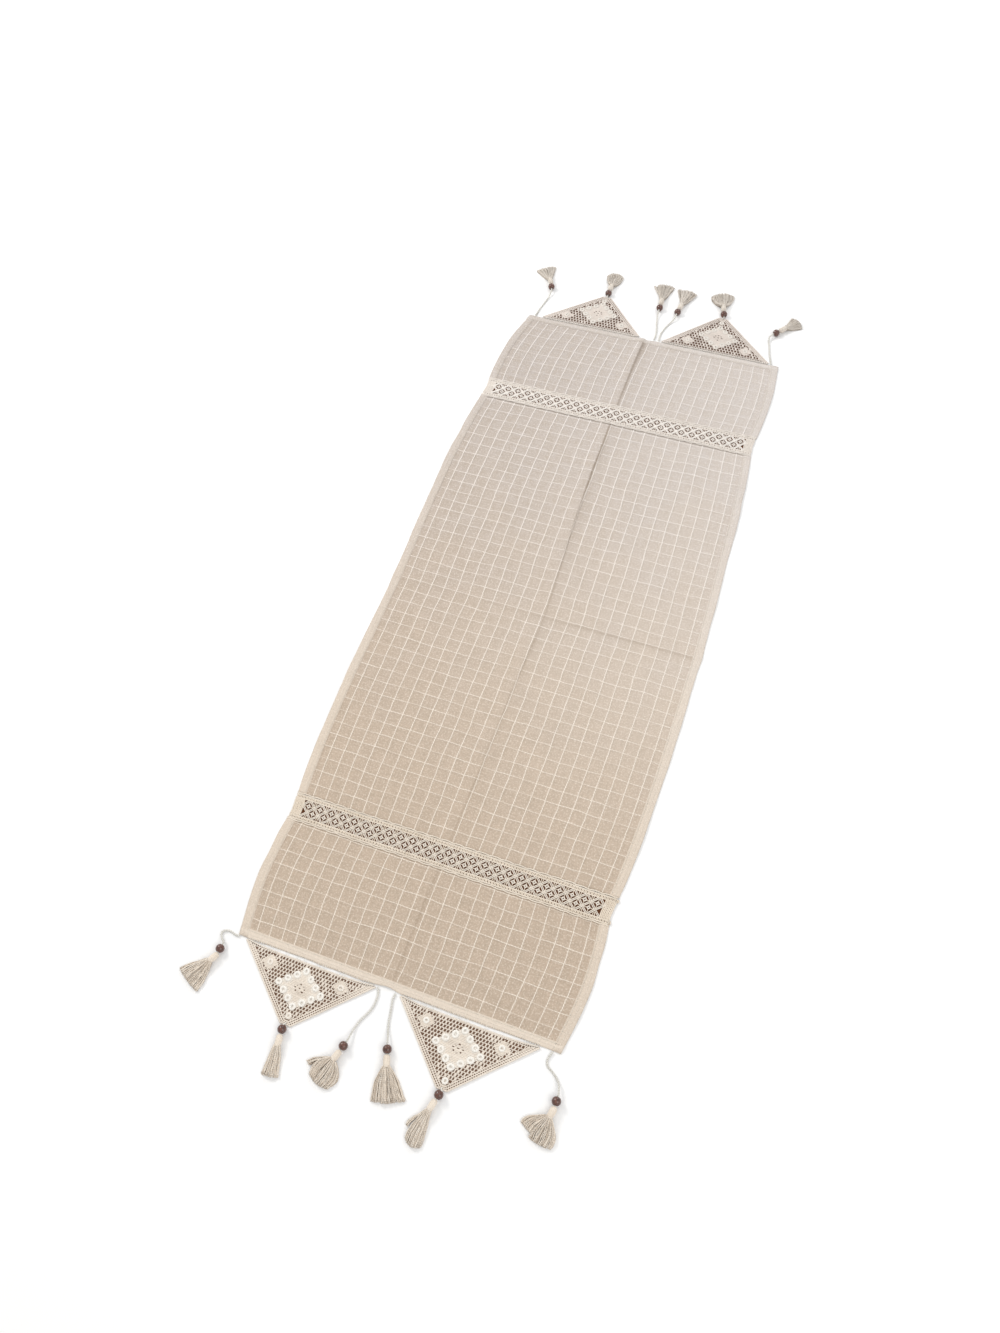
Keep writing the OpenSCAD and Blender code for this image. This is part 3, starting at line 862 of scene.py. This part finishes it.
def lace_point(name):
    """A net of crocheted bars with a ring medallion, and the threads that draw it to the hem."""
    end = name.split("_")[0]
    sign = SIGN[end]
    low, high = (np.array(c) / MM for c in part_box("lace_point_" + name))
    base_x, width = (low[0] + high[0]) / 2, high[0] - low[0]
    bead = middle(f"bead_{name}_point")
    tip = abs(bead[1]) + 1 - LACE_Y
    depth = tip - 7
    build = Build()

    def put(ad, rise=0.9):
        """Points (a, d), a from the middle line and d from the hem, in place."""
        a, d = np.asarray(ad, float).T
        x = base_x + a + (bead[0] - base_x) * d / tip
        y = sign * (LACE_Y + d)
        return xyz(x, y, 0.5 + 0.3 * noise(x, y, 28, 61) + rise)

    def half_at(d, off=0.0):
        """Half the width at depth d, off in from the legs."""
        return width / 2 * (1 - d / tip) - off * math.hypot(width / 2, tip) / tip

    def top(a):
        """The depth of the edge along the hem, which sags away from the hem in front."""
        a = np.asarray(a, float)
        if end == "back":
            return -2.8 + 0 * a
        return -3.0 + 3.0 * np.clip(1 - np.abs(a / (width / 2 - 6)) ** 5, 0, 1)

    mid_d = 34.0
    flowers = [(-52.0, 15.0), (52.0, 15.0)]
    rings = []
    corners = np.array([(1, 0), (0, 1), (-1, 0), (0, -1), (1, 0)])
    for k in range(12):
        part = (k % 3) / 3
        a, d = corners[k // 3] * (1 - part) + corners[k // 3 + 1] * part
        rings.append((a * 30.5, mid_d + d * 23.5))
    tip_ring = (0.0, depth - 12.0)

    def solid(a, d):
        medallion = abs(a) / 35.0 + abs(d - mid_d) / 28.0 < 1
        at_tip = math.hypot(a - tip_ring[0], d - tip_ring[1]) < 5
        return medallion or at_tip or any(abs(a - x) / 13.0 + abs(d - y) / 11.0 < 1 for x, y in flowers)

    def near_ring(a, d, r):
        return any(math.hypot(a - x, d - y) < r for x, y in rings)

    # rows along the hem, and the slanting bars between them
    pitch, step = (4.6, 4.5) if end == "front" else (5.6, 5.4)
    rows = np.arange(2.4, depth - 4, pitch)
    for r, d in enumerate(rows):
        inner = half_at(d, 6.0)
        if inner > 2:
            build.tube(put(line((-inner, d), (inner, d), 3.0)), 0.64)
        d2 = d + pitch
        inner2 = half_at(d2, 6.0)
        if inner2 < 1:
            continue
        for i in range(-40, 41):
            a = i * step + (0.0 if r % 2 else step / 2)
            slant = -0.9 + 0.3 * jitter()
            a1, a2 = a - slant / 2, a + slant / 2
            if abs(a2) > inner2 or solid(a, d + pitch / 2) or near_ring(a, d + pitch / 2, 3.0):
                continue
            thick = 1.0 + 0.2 * jitter()
            if rng.uniform() < 0.16:
                thick = 1.9
            bar = [(a1, d), ((a1 + a2) / 2, d + pitch / 2), (a2, d2)]
            build.tube(put(bar, 0.8), thick, flat=min(1.0, 0.9 / thick))
    # the edge along the hem, on short posts
    edge = width / 2 - 1.5
    s = np.arange(-edge, edge, 1.6)
    build.tube(put(xyz(s, top(s) + 0.9 + 0.15 * np.sin(2 * s))), 1.0, sides=6)
    for a in np.arange(-edge + 4, edge - 3, 2.9):
        t = float(top(a)) + 0.9
        build.tube(put([(a, t), (a - 0.3, (t + 2.4) / 2), (a - 0.5, 2.4)], 0.8), 0.75)

    # the dense borders along both legs, with rows of small holes
    def border(off):
        """The line that runs off in from the legs, across the blunt tip."""
        d_low = float(top(width / 2)) + 0.9 + 0.5 * off
        d_tip = depth - 0.6 - 0.7 * off
        wide, narrow = half_at(d_low, off), half_at(d_tip, off)
        left = line((-wide, d_low), (-narrow, d_tip), 1.6)
        cross = line((-narrow, d_tip), (narrow, d_tip), 1.6)[1:-1]
        return np.concatenate([left, cross, left[::-1] * [-1, 1]])

    lines = [border(off) for off in (1.0, 4.0, 7.0)]
    for p, radius in zip(lines, (1.15, 0.85, 0.85)):
        bumps = radius * (1 + 0.15 * np.sin(2 * np.arange(len(p))))
        build.tube(put(p), bumps, sides=6, low=0.3)
    for outer, inner, shift in ((0, 1, 0.0), (1, 2, 0.5)):
        n = int(distance(lines[inner])[-1] / 2.9)
        for i in range(n):
            f = (i + 0.5 + shift * 0.5) / n
            ends = [np.array([np.interp(f, np.linspace(0, 1, len(p)), p[:, k]) for k in (0, 1)])
                    for p in (lines[outer], lines[inner])]
            build.tube(put([ends[0], (ends[0] + ends[1]) / 2, ends[1]], 0.75), 0.75)
    # the solid parts: rows of small stitches, with holes that draw a flower
    holes = [(6.6 * math.cos(q), mid_d + 5.4 * math.sin(q)) for q in np.arange(8) * math.pi / 4]
    holes += [(9.8 * c, mid_d + 8.2 * c2) for c, c2 in ((0.5, 0.5), (-0.5, 0.5))]
    holes.append((0.0, mid_d))
    for x, y in flowers:
        holes += [(x + 2.6 * math.cos(q), y + 2.2 * math.sin(q)) for q in np.arange(5) * 1.2566]
    for k, d in enumerate(np.arange(5.0, depth - 2, 1.8)):
        run, pale = [], []
        for a in np.arange(-width / 2, width / 2, 0.75):
            inside = solid(a, d) and abs(a) < half_at(d, 7.0)
            if inside and not any(math.hypot(a - x, d - y) < 0.95 for x, y in holes):
                run.append((a, d + 0.16 * math.sin(4.2 * a + 3 * k)))
                pale.append(0.45 if near_ring(a, d, 6.5) else 0.0)
                continue
            if len(run) > 2:
                build.tube(put(run, 0.8), 1.08, flat=0.8, low=0.3, white=np.repeat(pale, 5))
            run, pale = [], []
    threads = build.make("lace_threads_" + name, LACE[end])
    # the rings, worked over the net
    build = Build()
    for k, (a, d) in enumerate(rings + flowers + [tip_ring]):
        r = 3.1 * (1 + 0.07 * jitter()) * (0.9 if k > 11 else 1)
        q = np.linspace(0, TAU, 16, endpoint=False)
        squash = 1 + 0.10 * jitter()
        ring = xyz(a + r * squash * np.cos(q), d + r / squash * np.sin(q))
        bumps = (1.95 if k < 12 else 1.7) * (1 + 0.13 * np.cos(8 * q + k))
        # the front left point's flower and tip rings are painted less white, as painted shade
        build.tube(put(ring, 1.55), bumps, sides=8, closed=True, flat=0.55, low=0.3,
                   white=(0.45 if k > 11 and name == "front_left" else 0.95) - 0.2 * rng.uniform(0, 1))
    petals = build.make("lace_rings_" + name, LACE[end])
    # a sheet of painted shade under the lace's threads
    gd = np.linspace(0.4, depth - 2.5, 24)
    grid = np.stack([put(xyz(np.linspace(-1, 1, 40) * half_at(d, 1.6), np.full(40, d)), 0.8)
                     for d in gd])
    net = ground("lace_shade_sheet_" + name, grid, LACE_HOLLOW[end])
    area = float(np.trapz(2 * half_at(gd, 1.6), gd)) * MM * MM
    flat = (2 * half_at(gd[0], 1.6) * MM, (gd[-1] - gd[0]) * MM)

    # whip stitches over the seam, close together at its ends, and dots of painted shade for the holes they
    # leave in the hem
    seam = Build()
    for a in np.arange(-width / 2 + 4, width / 2 - 3, 3.3):
        x = base_x + a + np.array([-0.9, -0.6, -0.2, 0.3, 0.7, 0.9])
        far = float(top(a))
        fade = np.array([0.0, 0.1, 0.4, 0.75, 1, 1])
        y = sign * (LACE_Y + (1 - fade) * (far + 2.0) + fade * -5.4)
        z = lift(x, np.full(6, sign * 598.0)) * fade + np.array([2.0, 2.35, 2.0, 1.5, 1.65, 1.45])
        if far < -1.2 or rng.uniform() < 0.3:
            seam.tube(xyz(x, y, z), 0.34, low=0.3, white=1.0)
        to_x, to_y = np.array([-0.5, 0, 0.5]), np.array([0, 0.1, 0])
        dots = xyz(x[4] + to_x, sign * (598.9 + to_y), np.full(3, z[4] - 0.35))
        # dark dots of painted shade for the stitch holes
        seam.tube(dots, 0.5, deep=0.75 if end == "back" else 0.5)
    return net, threads, petals, seam.make("whip_stitches_" + name, STITCH), (flat, area)


LACE_NAMES = ("front_left", "front_right", "back_left", "back_right")
for name in LACE_NAMES:
    pieces["lace_" + name] = lace_point(name)

# ---- tassels

# lobes are (middle, spread, length, share of the threads, how far the ends are thrown out); belly is
# the skirt's half width at 0, 20, 40, 60, 80 and 100 % of its length; round shortens the outer
# threads; bend is how far the ends curl, in mm
ONE_LOBE = [(0.0, 1.0, 1.0, 1.0, 0)]
FAN = (0.20, 0.36, 0.54, 0.71, 0.87, 1.0)
BELL = (0.24, 0.52, 0.76, 0.92, 1.0, 0.96)
STYLES = {
    "front_left_corner": dict(belly=(0.2, 0.42, 0.62, 0.8, 0.93, 1.0)),
    "front_left_inner": dict(
        lobes=[(0.05, 0.88, 1.0, 0.86, 0), (-0.75, 0.18, 0.74, 0.08, -0.55), (0.85, 0.12, 0.80, 0.06, 0.15)],
        belly=(0.26, 0.62, 0.86, 0.95, 0.90, 0.80), round=0.16, bend=1.0),
    "front_right_inner": dict(
        lobes=[(-0.5, 0.46, 0.97, 0.40, 0), (0.15, 0.42, 1.0, 0.34, 0), (0.62, 0.30, 0.98, 0.26, 0.30)],
        belly=(0.24, 0.52, 0.76, 0.84, 0.88, 0.92)),
    "front_right_corner": dict(
        lobes=[(0.25, 0.72, 1.0, 0.70, 0), (-0.75, 0.40, 0.84, 0.30, -0.12)],
        belly=(0.22, 0.50, 0.76, 0.95, 1.0, 0.95), round=0.12),
    "front_left_point": dict(belly=(0.38, 0.60, 0.74, 0.84, 0.92, 1.0)),
    "front_right_point": dict(
        lobes=[(0.1, 0.9, 1.0, 0.92, 0), (-0.85, 0.15, 0.72, 0.08, -0.55)],
        belly=(0.26, 0.46, 0.68, 0.85, 0.96, 0.90), bend=4.0, round=0.12),
    "back_left_corner": dict(belly=FAN),
    "back_left_inner": dict(
        lobes=[(0.0, 0.9, 1.0, 0.9, 0), (0.7, 0.2, 0.9, 0.1, 0.4)], belly=FAN, round=0.08),
    "back_right_inner": dict(
        lobes=[(-0.05, 0.85, 1.0, 0.85, 0), (0.75, 0.2, 1.0, 0.15, 0.35)], belly=FAN, round=0.10),
    "back_right_corner": dict(belly=FAN, round=0.14),
    "back_left_point": dict(belly=BELL, round=0.16),
    "back_right_point": dict(belly=BELL, round=0.16),
}
NECK_LEN = 11.0
NECK_TURNS, TURN_POINTS = 12, 14  # of the thread that binds the neck
THREAD_POINTS = 12


def tassel(name, angle, end, width):
    """A bound neck and a skirt of loose threads that lies on the floor."""
    style = STYLES[name]
    bead = middle("bead_" + name)
    head = bead + HEAD_OFF * heading(angle)
    fall = bearing(head, end)
    along, side = heading(fall), heading(fall + math.pi / 2)
    neck = head + NECK_LEN * along
    reach = math.hypot(end[0] - neck[0], end[1] - neck[1])
    build = Build()
    # the neck's core, and the thread bound round it
    core = line(head - 3.0 * along, neck + 1.5 * along, 1.5)
    t = np.linspace(0, 1, len(core))
    bulge = 3.6 + 0.4 * np.sin(math.pi * np.clip(t * 1.1, 0, 1)) - 1.6 * bell(t, 0.12)
    build.tube(core, bulge, sides=12, low=0.3, white=0.1)
    q = np.arange(NECK_TURNS * TURN_POINTS)
    s = q / len(q)
    radius = np.interp(s, [0, 0.12, 0.5, 0.85, 1.0], [2.7, 3.8, 4.15, 3.8, 3.3])
    a = TAU * q / TURN_POINTS
    centre = head - 2.0 * along + (NECK_LEN + 2.5) * s[:, None] * along
    turn = np.cos(a)[:, None] * side + np.sin(a)[:, None] * [0, 0, 1.0]
    wrap = centre + radius[:, None] * turn
    # painted shade on the underside of the bound thread
    build.tube(wrap, 0.6, ref=tuple(along), white=0.15,
               deep=np.repeat(0.35 * np.clip(-np.sin(a), 0, 1), 5))
    # the skirt
    count = int(120 + 3.6 * width)
    lobes = style.get("lobes", ONE_LOBE)
    shares = np.array([l[3] for l in lobes])
    pick = rng.choice(len(lobes), count, p=shares / shares.sum())
    stations = np.linspace(0, 1, THREAD_POINTS)
    belly = np.interp(stations, np.linspace(0, 1, 6), style["belly"])
    locks = rng.uniform(15, 21)
    for i in range(count):
        mid_a, spread, far, _, thrown = lobes[pick[i]]
        fan = mid_a + spread * jitter()
        layer = rng.uniform(0, 1)
        length = reach * far * (1 + 0.03 * jitter() - style.get("round", 0.03) * fan * fan)
        radial = length * stations
        wave_len, phase = rng.uniform(9, 18), rng.uniform(0, TAU)
        out = fan * width / 2 * belly
        ripple = TAU * radial / wave_len + phase
        out = out + rng.uniform(0.15, 0.6) * np.sqrt(stations) * np.sin(ripple)
        out = out + style.get("bend", 0.0) * stations**3 + rng.uniform(-1.2, 1.2) * stations**4
        out = out + thrown * width / 2 * np.clip(stations - 0.35, 0, 1) ** 1.3 * 1.7
        edge = min(abs(fan), 1.15) ** 2
        z_top, z_end = (0.6 + layer * high * (1 - 0.5 * edge) for high in (7.0, 4.6))
        z0 = neck[2] + (layer - 0.5) * 6.0
        fallen = ease(np.clip(stations / 0.35, 0, 1))
        z = z0 + (z_top + (z_end - z_top) * stations - z0) * fallen
        z = np.maximum(z + 0.3 * np.sin(ripple + 1), 0.5)
        path = neck + radial[:, None] * along + out[:, None] * side
        path[:, 2] = z
        # painted shade: lower threads, the furrows between locks and each thread's underside are darker
        furrow = max(0.0, math.sin(locks * fan + 0.6 * layer)) ** 4
        gloom = 0.5 * (1 - layer) ** 1.5 + 0.5 * furrow + 0.10 * rng.uniform(0, 1)
        build.tube(path, 0.43 + 0.05 * jitter(), sides=4,
                   deep=np.clip(np.tile([0, 0, 0.12, 0.12], THREAD_POINTS) + gloom, 0, 1),
                   white=0.4 * rng.uniform(0, 1) ** 2)
    return build.make("thread_tassel_" + name, TASSEL[name.split("_")[0]])


tassels = {}
for name, (angle, end, width, _, _) in CORD_TASSELS.items():
    tassels[name] = tassel(name, math.radians(angle), end, width)
for name, (end, width) in TIP_TASSELS.items():
    tassels[name] = tassel(name, bearing(middle("bead_" + name), end), end, width)

# the short loops at the lace tips
loops = {}
for name, (end, _) in TIP_TASSELS.items():
    bead = middle("bead_" + name)
    sign = 1 if bead[1] > 0 else -1
    h = heading(bearing(bead, end))
    starts = [(bead[0], bead[1] - sign * 9.5, 2.2), (bead[0], bead[1] - sign * 7.5, 3.1)]
    under = bead - (BEAD_LEN / 2 + 1.0) * h - np.array([0, 0, 1.0])
    path = smooth_route([*starts, under, bead - 3 * h, bead + (BEAD_LEN / 2 + 1) * h], 0.6)
    build = Build()
    plied(build, path, 2.2, 5.0, white=0.5)
    loops[name] = build.make("thread_loop_" + name, CORD)

# ---- riding and replacing


def stands_for(piece, slot, body, *nodes):
    """A piece that rides on one body, for the CAD nodes it replaces; slot is not used."""
    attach(piece, body)
    if nodes:
        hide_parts(*nodes)


for name in [*CORD_TASSELS, *TIP_TASSELS]:
    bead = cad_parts["bead_" + name]
    bead.data.materials.clear()
    bead.data.materials.append(BEAD)
    stands_for(tassels[name], "tassel", "drop_" + name, "tassel_" + name)
for name, (piece, path) in cords.items():
    stands_for(piece, "cord", "drop_" + name, "cord_" + name)
    float(distance(path)[-1]) * MM
    [tuple(p * MM) for p in path]
for name, piece in loops.items():
    stands_for(piece, "cord", "drop_" + name, "loop_" + name)


def across_fold(piece, sign):
    """A piece that lies across the fold, with its transform baked into its mesh."""
    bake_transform(piece)


piece, flat, area = pieces["woven_centre_panel"]
across_fold(piece, -1)
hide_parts("panel_front_half", "panel_back_half")
for word in ("left", "right"):
    hem, thread = pieces[f"folded_hem_{word}_centre"]
    for p, slot in ((hem, "hem"), (thread, "stitching")):
        across_fold(p, -1)
    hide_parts(f"side_hem_{word}_front_half", f"side_hem_{word}_back_half")
for end, sign in SIGN.items():
    body = end + "_end"
    piece, flat, area = pieces[f"woven_{end}_panel"]
    stands_for(piece, "cloth", body, f"panel_{end}_end")
    hems = []
    for key, node in (
        (f"left_{end}_end", f"side_hem_left_{end}_end"),
        (f"right_{end}_end", f"side_hem_right_{end}_end"),
        (end, f"end_hem_{end}"),
    ):
        hem, thread = pieces["folded_hem_" + key]
        stands_for(hem, "hem", body, node)
        stands_for(thread, "stitching", body)
        hems += [hem, thread]
    # band here is the sheet of painted shade under the band's threads
    band, threads, flat = pieces["band_" + end]
    for p in (band, threads):
        across_fold(p, sign)
    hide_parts("crochet_band_" + end)
for name in LACE_NAMES:
    end = name.split("_")[0]
    sign = SIGN[end]
    # net here is the sheet of painted shade under the lace's threads
    net, threads, petals, seam, (flat, area) = pieces["lace_" + name]
    stands_for(net, "lace", "lace_" + name, "lace_point_" + name)
    for p in (threads, petals):
        stands_for(p, "lace", "lace_" + name)
    across_fold(seam, sign)
    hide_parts("seam_stitches_" + name)

# ---- floor and light

floor_mesh = bpy.data.meshes.new("floor")
FLOOR = 12.0  # half the floor's width, in metres
corners = [(x * FLOOR, y * FLOOR, 0) for x, y in ((-1, -1), (1, -1), (1, 1), (-1, 1))]
floor_mesh.from_pydata(corners, [], [(0, 1, 2, 3)])
floor = link(bpy.data.objects.new("floor", floor_mesh))
floor_nodes = Nodes("floor_white", 0.9, specular=0.1)
floor_nodes.shader.inputs["Base Color"].default_value = (0.93, 0.93, 0.93, 1)
floor_mesh.materials.append(floor_nodes.material)

world = bpy.data.worlds.new("world")
bpy.context.scene.world = world
world.use_nodes = True
sky = world.node_tree.nodes["Background"].inputs
sky["Color"].default_value = (1.0, 1.0, 1.0, 1)
sky["Strength"].default_value = 0.7

# name, place, what it points at, size, power, colour
for name, at, target, size, power, colour in (
    ("key", (-1.9, 0.7, 1.7), (0, 0, 0), 0.9, 30, (1.0, 0.98, 0.95)),
    ("fill", (1.9, -1.2, 2.2), (0, -0.2, 0), 2.2, 26, (1.0, 0.98, 0.95)),
    ("back", (0.3, 2.4, 1.6), (0, 0.4, 0), 1.2, 13, (0.93, 0.96, 1.0)),
):
    data = bpy.data.lights.new(name, "AREA")
    data.shape = "DISK"
    data.size = size
    data.energy = power
    data.color = colour
    lamp = link(bpy.data.objects.new(name, data))
    lamp.location = at
    lamp.rotation_mode = "QUATERNION"
    lamp.rotation_quaternion = (Vector(target) - Vector(at)).to_track_quat("-Z", "Y")
bpy.context.scene.view_settings.view_transform = "Standard"

bpy.context.view_layer.update()
